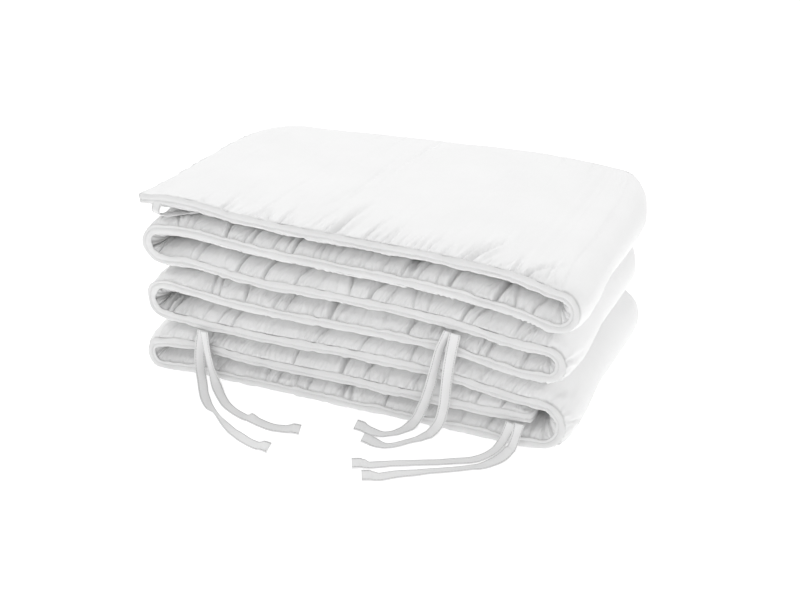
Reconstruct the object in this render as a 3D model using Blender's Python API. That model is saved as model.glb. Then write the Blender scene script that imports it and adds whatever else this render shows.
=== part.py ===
"""Crib bumper: one padded strip folded back and forth into seven layers, bound all round, with its tapes.

Metres, +Z up. The strip's length runs along X and its height along Y, and the stack lies flat on Z = 0.
The origin is at the middle of the flat underside. The tables are in millimetres, as x from the left folds,
y from the front edge and z above the floor.
"""

import math
from collections import namedtuple

import bmesh
import bpy
import numpy as np

OBJECT_NAME = "crib_bumper"
MM = 0.001

# Size of the folded stack
STACK_LENGTH = 0.483
STRIP_HEIGHT = 0.300

# Padded strip
CORE_HALF = 0.0132       # half the padding's thickness away from the edges
EDGE_HALF = 0.0050       # half its thickness at the sewn edge
EDGE_REACH = 0.028       # how fast the padding fills out behind the sewn edge
CORNER_PULL = 0.0022     # how far the binding draws each corner in
EDGE_RIPPLE = 0.0004     # in and out waver of the sewn edge
RIPPLE_TURN = 2.1        # radians of that waver from one station to the next
UNDERSIDE_SNAP = 0.0015  # the lowest face is laid flat on the floor up to this height
CORNER_DROOP = 0.0035    # the top layer's back corner at its free end hangs lower
CORNER_DROOP_REACH = 0.060

# Puckers that the seam gathers along the edge: every second station is drawn in
TUCK_DEPTH = 0.0021
TUCK_CENTRE = 0.012
TUCK_SPREAD = 0.016
TUCK_TURN = 1.9          # radians of their uneven depth from one station to the next

# Stitched channels across the strip, where two lengths of padding meet, and the faces that they sink
CHANNEL_DEPTH = 0.0060
CHANNEL_HALF = 0.008
Channel = namedtuple("Channel", "name layer x sides")
CHANNELS = (
    Channel("top", 0, 194, (1, -1)),
    Channel("second", 1, 315, (1, -1)),
    Channel("bottom", 5, 240, (-1,)),
)

# Binding
BINDING_HALF = 0.0053
BINDING_THICKNESS = 0.0016
GAP = 0.0003

# Stations along a layer, the cells between them, and the rows across as far as the middle
LAYER_X = (50, 120, 240, 360, 440)
CELLS_BETWEEN = (3, 4, 4, 3)
START_CELLS = 2
FINISH_CELLS = 3
ACROSS = (0, 6, 15, 30, 58, 105)
FOLD_STEPS = 8
FOLD_SHOULDER = 0.97     # how much of the opening between two layers the round of a fold takes

# Each layer in order along the strip: heights of its middle surface at LAYER_X, along the front edge, along
# the core and along the back edge.
Layer = namedtuple("Layer", "name front core back")
LAYERS = (
    Layer(
        "top", (207.0, 199.0, 195.0, 192.0, 183.5), (203.0, 197.0, 194.4, 191.5, 181.0),
        (193.0, 198.2, 201.0, 201.3, 196.0),
    ),
    Layer(
        "second", (173.0, 167.8, 162.5, 157.7, 145.8), (171.5, 166.5, 164.2, 161.2, 150.0),
        (174.9, 171.0, 168.0, 165.4, 155.0),
    ),
    Layer(
        "third", (138.0, 130.5, 129.0, 124.9, 114.7), (139.0, 135.5, 134.0, 131.2, 120.5),
        (139.2, 132.0, 131.0, 127.4, 117.5),
    ),
    Layer(
        "fourth", (102.8, 96.8, 96.6, 94.5, 83.3), (107.0, 104.8, 103.8, 101.2, 91.2),
        (103.8, 97.8, 97.6, 95.5, 84.3),
    ),
    Layer("fifth", (66.8, 65.0, 66.8, 63.6, 53.3), (75.0, 74.2, 73.6, 71.2, 62.0), (67.5, 65.3, 66.3, 62.4, 51.6)),
    Layer("bottom", (6.0, 5.5, 5.5, 5.5, 5.5), (13.2, 13.2, 13.2, 13.2, 13.2), (6.0, 5.5, 5.5, 5.5, 5.5)),
    Layer("inner", (37.0, 34.0, 34.2, 33.0, 34.0), (44.0, 43.6, 43.4, 42.0, 37.0), (38.0, 35.0, 35.2, 34.0, 35.0)),
)

# Each fold in the same order: how far its middle surface reaches along X, and the height of that point.
Fold = namedtuple("Fold", "name reach_front reach_core reach_back height_front height_core height_back")
FOLDS = (
    Fold("upper_right", 485.7, 481.0, 471.5, 158.0, 163.5, 176.0),
    Fold("upper_left", 5.5, 5.0, 5.0, 153.5, 154.0, 154.0),
    Fold("middle_right", 474.8, 474.0, 459.0, 99.0, 104.5, 102.0),
    Fold("middle_left", 5.3, 5.0, 5.0, 87.0, 90.5, 88.0),
    Fold("lower_right", 477.8, 476.0, 477.0, 30.0, 36.5, 26.0),
    Fold("lower_left", -2.5, 0.0, 0.0, 17.5, 28.2, 21.0),
)

# The strip's two free ends: their place along X and the heights of the middle surface there
FreeEnd = namedtuple("FreeEnd", "name x front core back")
START = FreeEnd("start", -1.0, 203.7, 198.3, 187.0)
FINISH = FreeEnd("finish", 446.0, 34.5, 35.0, 35.0)

# Tapes
TAPE_WIDTH = 0.0115
TAPE_THICKNESS = 0.0012
HEM_LENGTH = 0.010
HEM_THICKNESS = 0.0024
HEM_STEP = 0.001
TAPE_STEP = 0.009

# A tape's route by hand: its middle line, and the way its width points in plan, in degrees. A height of 0
# lays it on the floor.
Stop = namedtuple("Stop", "x y z heading")
TAPES = {
    "tie_low_a": (
        Stop(72.5, -4.4, 60.2, 0),
        Stop(76.0, -5.0, 34.0, 0),
        Stop(81.5, -7.0, 14.0, 6),
        Stop(90.0, -14.5, 3.0, 18),
        Stop(104.0, -29.0, 0, 40),
        Stop(121.0, -45.0, 0, 50),
        Stop(144.0, -57.0, 0, 62),
        Stop(168.0, -64.0, 0, 74),
        Stop(190.0, -68.0, 0, 86),
        Stop(203.0, -66.5, 0, 90),
        Stop(220.0, -65.5, 0, 86),
    ),
    "tie_low_b": (
        Stop(70.0, -2.2, 60.2, 0),
        Stop(65.5, -2.4, 36.5, 6),
        Stop(65.5, -4.6, 12.0, 10),
        Stop(73.0, -15.0, 3.0, 24),
        Stop(88.0, -36.0, 0, 34),
        Stop(112.0, -62.0, 0, 46),
        Stop(139.0, -81.0, 0, 58),
        Stop(160.0, -93.0, 0, 62),
        Stop(179.0, -102.0, 0, 70),
        Stop(191.0, -106.0, 0, 74),
        Stop(207.0, -108.5, 0, 80),
    ),
    "tie_mid_a": (
        Stop(366.0, -4.4, 117.0, 0),
        Stop(361.2, -5.0, 86.0, 4),
        Stop(358.0, -5.2, 56.7, 6),
        Stop(356.0, -6.0, 31.7, 4),
        Stop(351.0, -11.0, 11.0, -8),
        Stop(341.0, -22.0, 0, -36),
        Stop(329.0, -37.0, 0, -44),
        Stop(313.0, -52.0, 0, -62),
        Stop(300.0, -54.5, 0, -84),
        Stop(286.0, -52.5, 0, -98),
    ),
    "tie_mid_b": (
        Stop(359.0, -2.2, 116.8, 0),
        Stop(352.0, -2.4, 102.0, 4),
        Stop(344.8, -2.6, 72.8, 6),
        Stop(339.0, -2.6, 48.2, 6),
        Stop(332.0, -3.0, 26.2, 4),
        Stop(325.0, -6.0, 9.0, -6),
        Stop(316.5, -17.0, 0, -34),
        Stop(306.0, -30.0, 0, -56),
        Stop(294.0, -35.5, 0, -84),
        Stop(284.0, -35.0, 0, -94),
        Stop(269.0, -33.5, 0, -98),
    ),
    "tie_end_a": (
        Stop(428.0, -4.6, 28.5, 0),
        Stop(423.5, -6.6, 14.0, -4),
        Stop(418.0, -14.0, 3.0, -14),
        Stop(412.0, -28.0, 0, -24),
        Stop(403.0, -41.5, 0, -42),
        Stop(385.0, -52.5, 0, -60),
        Stop(361.0, -65.5, 0, -60),
        Stop(327.0, -83.0, 0, -60),
        Stop(311.0, -93.0, 0, -58),
        Stop(296.0, -101.0, 0, -62),
    ),
    "tie_end_b": (
        Stop(436.0, -2.2, 28.5, 0),
        Stop(434.0, -3.6, 15.0, 0),
        Stop(431.5, -13.5, 3.0, -4),
        Stop(427.5, -31.5, 0, -14),
        Stop(418.5, -45.0, 0, -38),
        Stop(400.0, -60.5, 0, -56),
        Stop(367.0, -81.0, 0, -58),
        Stop(342.0, -98.0, 0, -58),
        Stop(329.0, -109.0, 0, -58),
        Stop(314.0, -117.0, 0, -66),
    ),
    "tie_top": (
        Stop(23.5, -2.6, 198.0, 0),
        Stop(24.0, -3.0, 195.2, 0),
        Stop(27.0, 0.5, 191.8, -10),
        Stop(35.0, 9.0, 190.0, -36),
        Stop(46.0, 18.0, 190.0, -50),
        Stop(58.0, 26.0, 189.5, -56),
    ),
}

# Colours, as linear values
WHITE_COTTON = (0.86, 0.86, 0.86, 1.0)
WHITE_BINDING = (0.80, 0.80, 0.80, 1.0)
WHITE_TAPE = (0.74, 0.74, 0.74, 1.0)
COTTON_ROUGHNESS = 0.9


def place(x, y, z):
    """Move a place from the front left corner to the middle of the underside, and keep it off the floor."""
    return (x - STACK_LENGTH / 2, y - STRIP_HEIGHT / 2, max(z, 0.0))


def fold_points(fold_x, fold_z, high, low, to_right):
    """Return the round of one fold, from its upper shoulder down to its lower one."""
    radius = FOLD_SHOULDER * (high - low) / 2
    outward = 1 if to_right else -1
    points = []
    for step in range(FOLD_STEPS + 1):
        angle = math.pi * (0.5 - step / FOLD_STEPS)
        points.append((fold_x - outward * radius * (1 - math.cos(angle)), fold_z + radius * math.sin(angle)))
    return points


def row_points(row):
    """Return the path along one row as (x, z) points in metres, from the top free end to the inner one."""
    points = [(START.x, getattr(START, row))]
    for number, layer in enumerate(LAYERS[:-1]):
        heights = getattr(layer, row)
        run = list(zip(LAYER_X, heights))
        to_right = number % 2 == 0
        points += run if to_right else run[::-1]
        fold = FOLDS[number]
        end = -1 if to_right else 0
        ends = (heights[end], getattr(LAYERS[number + 1], row)[end])
        bend = fold_points(
            getattr(fold, "reach_" + row), getattr(fold, "height_" + row), max(ends), min(ends), to_right
        )
        points += bend if ends[0] > ends[1] else bend[::-1]
    points += list(zip(LAYER_X, getattr(LAYERS[-1], row)))[:-1]
    points.append((FINISH.x, getattr(FINISH, row)))
    return np.array(points) * MM


def cell_counts():
    """Return how many cells the strip has between one path point and the next."""
    counts = [START_CELLS]
    for number in range(len(FOLDS)):
        counts += CELLS_BETWEEN if number % 2 == 0 else CELLS_BETWEEN[::-1]
        counts += [1] * (FOLD_STEPS + 2)
    return counts + list(CELLS_BETWEEN[:-1]) + [FINISH_CELLS]


def smooth_path(points, turns):
    """Read a smooth curve through the points at each turn, a point number with its fraction."""
    gaps = np.linalg.norm(np.diff(points, axis=0), axis=1)[:, None]
    slopes = np.diff(points, axis=0) / gaps
    inner = (slopes[:-1] * gaps[1:] + slopes[1:] * gaps[:-1]) / (gaps[:-1] + gaps[1:])
    tangents = np.vstack([slopes[:1], inner, slopes[-1:]])
    first = np.clip(np.floor(turns).astype(int), 0, len(points) - 2)
    part = (turns - first)[:, None]
    square, cube = part ** 2, part ** 3
    return (
        (2 * cube - 3 * square + 1) * points[first]
        + (cube - 2 * square + part) * gaps[first] * tangents[first]
        + (3 * square - 2 * cube) * points[first + 1]
        + (cube - square) * gaps[first] * tangents[first + 1]
    )


def distances_along(points):
    """Return how far along a line each of its points is."""
    return np.concatenate([[0], np.cumsum(np.linalg.norm(np.diff(points, axis=0), axis=1))])


class Strip:
    """The padded strip's stations along its length, its rows across, and the surface through their middle."""

    FINE = 4000
    TURN_STEP = 0.02

    def __init__(self):
        """Lay out the stations, with one on each stitched channel and one either side of it."""
        rows = {row: row_points(row) for row in ("front", "core", "back")}
        turns = [0.0]
        for number, cells in enumerate(cell_counts()):
            turns += [number + (cell + 1) / cells for cell in range(cells)]
        fine = np.linspace(0, len(rows["core"]) - 1, self.FINE)
        core = smooth_path(rows["core"], fine)
        run = distances_along(core)
        self.length = run[-1]
        self.along = np.interp(turns, fine, run)
        self.channels = []
        for channel in CHANNELS:
            first_point = 1 + channel.layer * (len(LAYER_X) + FOLD_STEPS + 1)
            here = (fine >= first_point) & (fine <= first_point + len(LAYER_X) - 1)
            middle = run[here][np.argmin(abs(core[here, 0] - channel.x * MM))]
            nearest = int(np.argmin(abs(self.along - middle)))
            self.along[nearest - 1:nearest + 2] = middle + CHANNEL_HALF * np.array([-1, 0, 1])
            self.channels.append((middle, channel.sides))
        turns = np.interp(self.along, run, fine)
        near = np.array(ACROSS) * MM
        self.across = np.concatenate([near, [STRIP_HEIGHT / 2], STRIP_HEIGHT - near[::-1]])
        self.paths = {}
        self.tangents = {}
        for row, points in rows.items():
            self.paths[row] = smooth_path(points, turns)
            change = smooth_path(points, turns + self.TURN_STEP) - smooth_path(points, turns - self.TURN_STEP)
            self.tangents[row] = change / np.linalg.norm(change, axis=1)[:, None]

    def blend(self, table, station, distance):
        """Mix the front, core and back rows of a table at one station and one distance from the front."""
        front = math.exp(-distance / EDGE_REACH)
        back = math.exp(-(STRIP_HEIGHT - distance) / EDGE_REACH)
        core = table["core"][station]
        return core + front * (table["front"][station] - core) + back * (table["back"][station] - core)

    def cloth_place(self, station, row):
        """Return a corner's run along the strip and its distance across, drawn in for the binding."""
        run, distance = self.along[station], self.across[row]
        at_end = station in (0, len(self.along) - 1)
        if row in (0, len(self.across) - 1):
            drawn_in = BINDING_THICKNESS + GAP + EDGE_RIPPLE * math.sin(RIPPLE_TURN * station + row)
            if at_end:
                drawn_in += CORNER_PULL
                run += CORNER_PULL if station == 0 else -CORNER_PULL
            distance += drawn_in if row == 0 else -drawn_in
        return run, distance

    def frame(self, station, row):
        """Return a point of the middle surface, its direction along the strip and its upward normal."""
        run, distance = self.cloth_place(station, row)
        along_x, along_z = self.blend(self.tangents, station, distance)
        size = math.hypot(along_x, along_z)
        tangent = np.array([along_x, 0, along_z]) / size
        normal = np.array([-along_z, 0, along_x]) / size
        x, z = self.blend(self.paths, station, distance)
        from_corner = math.hypot(run, STRIP_HEIGHT - distance) / CORNER_DROOP_REACH
        point = np.array([x, distance, z - CORNER_DROOP * math.exp(-from_corner ** 2)])
        return point + tangent * (run - self.along[station]), tangent, normal

    def half_thickness(self, station, row, side):
        """Return half the padding's thickness on one side: its crown, channels and tucks."""
        run, distance = self.along[station], self.across[row]
        fill = 1.0
        for away in (distance, STRIP_HEIGHT - distance, run, self.length - run):
            fill *= 1 - math.exp(-away / EDGE_REACH)
        half = EDGE_HALF + (CORE_HALF - EDGE_HALF) * fill
        for middle, sides in self.channels:
            if side in sides:
                half -= CHANNEL_DEPTH * fill * math.exp(-(2 * (run - middle) / CHANNEL_HALF) ** 2)
        from_edge = min(distance, STRIP_HEIGHT - distance)
        if from_edge > 0:
            tuck = (-1) ** station * (0.6 + 0.4 * math.sin(TUCK_TURN * station + side))
            half += TUCK_DEPTH * tuck * math.exp(-((from_edge - TUCK_CENTRE) / TUCK_SPREAD) ** 2)
        return half

    def face_point(self, station, row, side):
        """Return a point of the strip's upper (side 1) or lower (side -1) face."""
        point, _, normal = self.frame(station, row)
        x, y, z = point + side * self.half_thickness(station, row, side) * normal
        return place(x, y, z if z > UNDERSIDE_SNAP else 0.0)

    def rim(self):
        """Return the corners in order round the strip's edge, as (station, row) pairs."""
        last, far = len(self.along) - 1, len(self.across) - 1
        return (
            [(station, 0) for station in range(last)]
            + [(last, row) for row in range(far)]
            + [(station, far) for station in range(last, 0, -1)]
            + [(0, row) for row in range(far, 0, -1)]
        )

    def binding_point(self, rim, number, height, out):
        """Return a point of the binding at this rim corner, this high and this far out from the padding."""
        here = np.array(self.cloth_place(*rim[number]))
        before = here - np.array(self.cloth_place(*rim[number - 1]))
        after = np.array(self.cloth_place(*rim[(number + 1) % len(rim)])) - here
        before, after = before / np.linalg.norm(before), after / np.linalg.norm(after)
        outward = np.array([before[1] + after[1], -before[0] - after[0]])
        outward *= 2 * out / (outward @ outward)
        point, tangent, normal = self.frame(*rim[number])
        x, y, z = point + height * normal + outward[0] * tangent
        return place(x, y + outward[1], z)


def make_material(name, colour):
    """Return a matt cloth material of one colour."""
    material = bpy.data.materials.new(name)
    material.use_nodes = True
    shader = material.node_tree.nodes["Principled BSDF"]
    shader.inputs["Base Color"].default_value = colour
    shader.inputs["Roughness"].default_value = COTTON_ROUGHNESS
    shader.inputs["Metallic"].default_value = 0.0
    material.diffuse_color = colour
    return material


def make_slab(name, cells_long, cells_wide, corner_place, material, closed=False):
    """Make a closed slab from a grid, with both faces shaped by corner_place(column, row, side).

    A closed slab joins its last column to its first, as a band does.
    """
    cloth = bmesh.new()
    bmesh.ops.create_grid(cloth, x_segments=cells_long, y_segments=cells_wide, size=0.5)
    column_layer = cloth.verts.layers.int.new("column")
    row_layer = cloth.verts.layers.int.new("row")
    for vertex in cloth.verts:
        column = round((vertex.co.x + 0.5) * cells_long)
        vertex[column_layer] = column % cells_long if closed else column
        vertex[row_layer] = round((vertex.co.y + 0.5) * cells_wide)
        vertex.co = corner_place(vertex[column_layer], vertex[row_layer], -1)
    if closed:
        bmesh.ops.remove_doubles(cloth, verts=cloth.verts[:], dist=0.00001)
    lower = set(cloth.verts)
    bmesh.ops.solidify(cloth, geom=cloth.faces[:], thickness=0.001)
    for vertex in cloth.verts:
        side = -1 if vertex in lower else 1
        vertex.co = corner_place(vertex[column_layer], vertex[row_layer], side)
    bmesh.ops.recalc_face_normals(cloth, faces=cloth.faces[:])
    if cloth.calc_volume(signed=True) < 0:
        bmesh.ops.reverse_faces(cloth, faces=cloth.faces[:])
    mesh = bpy.data.meshes.new(name)
    cloth.to_mesh(mesh)
    cloth.free()
    mesh.shade_smooth()
    mesh.materials.append(material)
    return bpy.data.objects.new(name, mesh)


def make_pad(strip, material):
    """Make the padded strip as one folded solid."""
    return make_slab("pad", len(strip.along) - 1, len(strip.across) - 1, strip.face_point, material)


def make_binding(strip, material):
    """Make the band that runs all round the strip's edge."""
    rim = strip.rim()

    def corner_place(column, row, side):
        """Return a corner of the band: row 0 is its lower edge, and side 1 its outer face."""
        height = BINDING_HALF if row == 1 else -BINDING_HALF
        return strip.binding_point(rim, column, height, GAP + (BINDING_THICKNESS if side > 0 else 0))

    return make_slab("binding", len(rim), 1, corner_place, material, closed=True)


def make_tape(name, stops, material):
    """Make one tape along its stops, hemmed at its free end."""
    route = np.array([(stop.x, stop.y, stop.z) for stop in stops]) * MM
    reach = distances_along(route)
    hem_start = reach[-1] - HEM_LENGTH
    plain = np.linspace(0, hem_start, round(hem_start / TAPE_STEP) + 1)
    runs = np.concatenate([plain, [hem_start + HEM_STEP, reach[-1]]])
    line = smooth_path(route, np.interp(runs, reach, np.arange(len(stops))))
    thickness = np.where(runs > hem_start, HEM_THICKNESS, TAPE_THICKNESS)
    line[:, 2] = np.maximum(line[:, 2], thickness / 2)
    forward = np.gradient(line, axis=0)
    headings = np.radians(np.interp(runs, reach, [stop.heading for stop in stops]))

    def corner_place(column, row, side):
        """Return a corner of the tape: row 0 and 1 are its two edges, and side its two faces."""
        along = forward[column] / np.linalg.norm(forward[column])
        width = np.array([math.cos(headings[column]), math.sin(headings[column]), 0])
        width -= along * (width @ along)
        width /= np.linalg.norm(width)
        across = width * TAPE_WIDTH * (row - 0.5)
        return place(*(line[column] + across + np.cross(width, along) * side * thickness[column] / 2))

    return make_slab(name, len(runs) - 1, 1, corner_place, material)


def main():
    """Clear the scene and build the bumper."""
    for old in list(bpy.data.objects):
        bpy.data.objects.remove(old, do_unlink=True)
    collection = bpy.data.collections.new(OBJECT_NAME)
    bpy.context.scene.collection.children.link(collection)
    strip = Strip()
    collection.objects.link(make_pad(strip, make_material("quilt_cotton", WHITE_COTTON)))
    collection.objects.link(make_binding(strip, make_material("binding_cotton", WHITE_BINDING)))
    for name, stops in TAPES.items():
        collection.objects.link(make_tape(name, stops, make_material(name + "_tape", WHITE_TAPE)))


main()
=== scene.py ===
"""Looks of a folded crib bumper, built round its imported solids.

One padded strip of white cotton is folded back and forth into seven layers. A woven band is sewn all round its
edge, and seven cotton tapes are sewn under that band. Metres, +Z up. The tables are in millimetres, as x from the
left folds, y from the front edge and z above the floor, as in the part's own source.
"""

import logging
import math
from dataclasses import dataclass
from enum import Enum, IntEnum
from typing import NamedTuple

import bpy
import numpy as np
from bpy.types import ID, Material, Mesh, Node, NodeSocket, NodeTree, Object
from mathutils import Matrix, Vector
from numpy import ndarray


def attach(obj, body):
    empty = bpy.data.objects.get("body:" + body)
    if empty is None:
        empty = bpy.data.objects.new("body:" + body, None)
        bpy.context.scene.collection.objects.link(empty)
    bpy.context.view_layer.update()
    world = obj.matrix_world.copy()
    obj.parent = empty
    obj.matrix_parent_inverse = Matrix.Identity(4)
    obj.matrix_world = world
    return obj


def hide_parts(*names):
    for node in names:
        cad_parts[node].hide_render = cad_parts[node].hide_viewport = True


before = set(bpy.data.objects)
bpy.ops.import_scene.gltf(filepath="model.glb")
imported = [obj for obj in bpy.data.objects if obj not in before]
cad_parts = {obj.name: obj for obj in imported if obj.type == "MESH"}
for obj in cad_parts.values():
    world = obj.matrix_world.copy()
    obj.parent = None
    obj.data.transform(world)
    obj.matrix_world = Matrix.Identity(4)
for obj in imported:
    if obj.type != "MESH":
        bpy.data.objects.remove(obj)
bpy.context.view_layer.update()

LOG = logging.getLogger("crib_bumper")
MM = 0.001

# Size of the folded stack and of the strip, as in the part's source
STACK_LENGTH = 0.483
STRIP_HEIGHT = 0.300
CORE_HALF = 0.0132
EDGE_HALF = 0.0050
EDGE_REACH = 0.028
CORNER_DROOP = 0.0035
CORNER_DROOP_REACH = 0.060
BINDING_GAP = 0.0003
BINDING_THICKNESS = 0.0016
DRAWN_IN = BINDING_THICKNESS + BINDING_GAP

# Places along a layer and round a fold that the middle surface passes through
LAYER_X = (50, 120, 240, 360, 440)
FOLD_STEPS = 8
FOLD_SHOULDER = 0.97
POINTS_A_LAYER = len(LAYER_X) + FOLD_STEPS + 1


class Row(Enum):
    """The three lines along the strip that carry its middle surface."""

    FRONT = "front"
    CORE = "core"
    BACK = "back"


class Side(IntEnum):
    """The strip's two faces, by the way that they lie along its normal."""

    OUTER = 1
    INNER = -1


class Layer(NamedTuple):
    """A layer's heights at LAYER_X along the front edge, the core and the back edge."""

    name: str
    front: tuple[float, ...]
    core: tuple[float, ...]
    back: tuple[float, ...]


class Fold(NamedTuple):
    """How far a fold's middle surface reaches along X, and at what height."""

    name: str
    reach_front: float
    reach_core: float
    reach_back: float
    height_front: float
    height_core: float
    height_back: float


class FreeEnd(NamedTuple):
    """A free end of the strip: its place along X and its heights."""

    x: float
    front: float
    core: float
    back: float


class Channel(NamedTuple):
    """A stitched line across the strip: its place at the front and how far it drifts by the back."""

    layer: str
    x: float
    drift: float
    depth: float
    half_width: float
    sides: tuple[int, ...]


class Crease(NamedTuple):
    """A trough that starts at the front seam, where a negative depth is a ridge."""

    at: float
    reach: float
    drift: float
    width: float
    depth: float


class Stop(NamedTuple):
    """A point of a tape's middle line, with its width's heading in plan and its roll, in degrees."""

    x: float
    y: float
    z: float
    heading: float
    roll: float


LAYERS = (
    Layer(
        "top", (207.0, 199.0, 195.0, 192.0, 183.5), (203.0, 197.0, 194.4, 191.5, 181.0),
        (193.0, 198.2, 201.5, 203.8, 198.6),
    ),
    Layer(
        "second", (173.0, 167.8, 162.5, 157.7, 145.8), (171.5, 166.5, 164.2, 161.2, 150.0),
        (174.9, 171.0, 168.0, 165.4, 155.0),
    ),
    Layer(
        "third", (138.0, 130.5, 129.0, 124.9, 114.7), (139.0, 135.5, 134.0, 131.2, 120.5),
        (139.2, 132.0, 131.0, 127.4, 117.5),
    ),
    Layer(
        "fourth", (102.8, 96.8, 96.6, 94.5, 83.3), (107.0, 104.8, 103.8, 101.2, 91.2),
        (103.8, 97.8, 97.6, 95.5, 84.3),
    ),
    Layer("fifth", (66.8, 65.0, 66.8, 63.6, 53.3), (75.0, 74.2, 73.6, 71.2, 62.0), (67.5, 65.3, 66.3, 62.4, 51.6)),
    Layer("bottom", (6.0, 5.5, 5.5, 5.5, 5.5), (13.2, 13.2, 13.2, 13.2, 13.2), (6.0, 5.5, 5.5, 5.5, 5.5)),
    Layer("inner", (37.0, 34.0, 34.2, 33.0, 34.0), (44.0, 43.6, 43.4, 42.0, 37.0), (38.0, 35.0, 35.2, 34.0, 35.0)),
)
FOLDS = (
    Fold("upper_right", 485.7, 481.0, 471.5, 158.0, 163.5, 176.0),
    Fold("upper_left", 5.5, 5.0, 5.0, 153.5, 154.0, 154.0),
    Fold("middle_right", 474.8, 474.0, 459.0, 99.0, 104.5, 102.0),
    Fold("middle_left", 5.3, 5.0, 5.0, 87.0, 90.5, 88.0),
    Fold("lower_right", 477.8, 476.0, 477.0, 30.0, 36.5, 26.0),
    Fold("lower_left", -2.5, 0.0, 0.0, 17.5, 28.2, 21.0),
)
START = FreeEnd(-1.0, 203.7, 198.3, 187.0)
FINISH = FreeEnd(446.0, 34.5, 35.0, 35.0)

CHANNELS = (
    Channel("top", 192, 46, 2.6, 3.0, (1, -1)),
    Channel("second", 313, 4, 6.5, 3.6, (1, -1)),
    Channel("bottom", 236, 4, 9.0, 2.6, (-1,)),
)

# The main creases of each layer's upper face, from the photograph, by their x along the front seam
CREASES = {
    "top": (
        (78, 11, -6, 2.5, 1.2), (100, 34, 1, 3.6, 2.4), (107, 28, 0, 2.4, -1.4), (122, 9, 1, 2.0, 1.1),
        (128, 8, 1, 2.0, 1.0), (135, 9, 1, 2.2, 1.1), (154, 24, -6, 4.0, 2.4), (168, 37, 4, 3.2, 2.2),
        (175, 24, 4, 2.4, -1.3), (181, 18, 2, 2.2, 1.1), (215, 12, -2, 2.2, 1.0), (222, 14, 1, 2.2, 1.2),
        (229, 74, 14, 6.0, 3.2), (240, 60, 12, 4.0, -1.5), (263, 26, 6, 3.0, 1.6), (273, 28, 7, 2.6, 1.3),
        (290, 31, 3, 3.0, 2.1), (300, 28, 5, 2.3, 1.4), (308, 22, 4, 2.2, 1.3), (316, 24, 4, 2.3, 1.5),
        (323, 28, 5, 2.6, 1.6), (331, 36, 9, 3.0, 1.4), (347, 20, 5, 2.8, 1.8), (368, 38, 12, 3.4, 2.3),
        (376, 64, 31, 5.0, 2.8), (384, 60, 34, 4.0, -1.4), (405, 14, 10, 2.2, 1.0), (419, 15, 9, 2.4, 1.4),
        (434, 38, 33, 4.2, 2.6),
    ),
    "second": (
        (47, 22, -16, 3.2, 1.8), (56, 14, -2, 2.4, 1.3), (63, 14, -1, 2.4, 1.3), (103, 22, -4, 3.4, 2.6),
        (126, 24, 2, 2.4, 1.5), (133, 32, 4, 3.2, 2.4), (182, 34, 3, 3.8, 2.6), (206, 13, 1, 2.2, 1.2),
        (214, 12, -1, 2.2, 1.3), (222, 14, 0, 2.4, 1.2), (231, 12, 1, 2.2, 1.2), (342, 12, 0, 2.6, 1.4),
        (356, 30, 3, 4.2, 2.4), (404, 32, 6, 5.0, 3.2), (440, 14, 5, 3.0, 1.8),
    ),
    "third": (
        (60, 26, 1, 3.0, -1.8), (66, 24, 2, 3.0, 1.6), (114, 33, 7, 3.6, 2.8), (147, 35, 8, 3.8, 3.2),
        (184, 32, 15, 3.2, 2.4), (247, 28, -8, 3.0, 2.0), (268, 32, 20, 5.0, 3.2), (288, 14, 5, 2.6, 1.6),
        (317, 18, -3, 2.6, 1.6), (333, 16, -2, 2.4, 1.3), (369, 30, 9, 3.4, 2.8), (380, 20, 9, 3.0, 1.8),
        (431, 12, 14, 2.4, 1.5),
    ),
    "fourth": (
        (82, 26, -7, 2.8, 2.0), (91, 26, -8, 2.8, 2.0), (123, 22, -7, 2.8, 2.0), (157, 20, 5, 3.0, 1.8),
        (171, 32, 12, 2.8, 2.0), (223, 28, 0, 6.0, 3.0), (311, 26, 11, 3.2, 3.0), (348, 14, -1, 3.0, 1.8),
        (396, 22, 4, 3.6, 2.2), (433, 16, 4, 3.0, 1.8),
    ),
    "fifth": (
        (30, 28, 16, 3.4, 2.4), (87, 22, 11, 3.0, 2.0), (105, 24, 8, 3.0, 2.0), (206, 20, 11, 3.0, 1.8),
        (257, 22, 8, 3.0, 1.8), (314, 18, 1, 3.0, 2.0),
    ),
    "inner": (
        (178, 20, 1, 3.0, 2.0), (236, 28, 0, 5.2, 3.0), (387, 14, 3, 3.0, 1.8), (414, 14, 6, 3.0, 1.8),
    ),
    "bottom": (
        (194, 22, 5, 3.0, 2.0), (246, 22, -6, 6.0, 2.6), (285, 22, 0, 3.0, 2.0), (399, 22, 9, 3.0, 1.8),
    ),
}
# The creases inside each fold, by their share of the way round from its first shoulder
FOLD_CREASES = {
    "upper_right": (
        (0.35, 16, 0, 2.6, 1.8), (0.55, 22, 2, 2.8, 2.2), (0.72, 26, 3, 3.0, 2.6), (0.88, 26, 4, 3.2, 2.6),
        (1.15, 30, 8, 4.0, 3.0),
    ),
    "upper_left": (
        (0.30, 30, 4, 3.2, 2.2), (0.62, 36, 8, 3.4, 2.8), (0.90, 30, 10, 3.2, 2.4),
    ),
    "middle_right": (
        (0.40, 18, 2, 2.8, 2.0), (0.66, 24, 3, 3.6, 3.0), (0.90, 24, 2, 3.0, 2.4),
    ),
    "middle_left": (
        (0.34, 30, 4, 3.0, 2.0), (0.56, 40, 6, 6.0, 3.2), (1.00, 36, 14, 5.0, 3.0), (0.74, 36, 10, 3.4, 2.8),
    ),
    "lower_right": (
        (0.45, 20, 2, 3.0, 2.2), (0.70, 24, 2, 3.4, 2.8), (0.92, 22, 2, 3.0, 2.2),
    ),
    "lower_left": (
        (0.40, 26, 2, 3.0, 2.2), (0.72, 30, 4, 3.2, 2.4),
    ),
}

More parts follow.
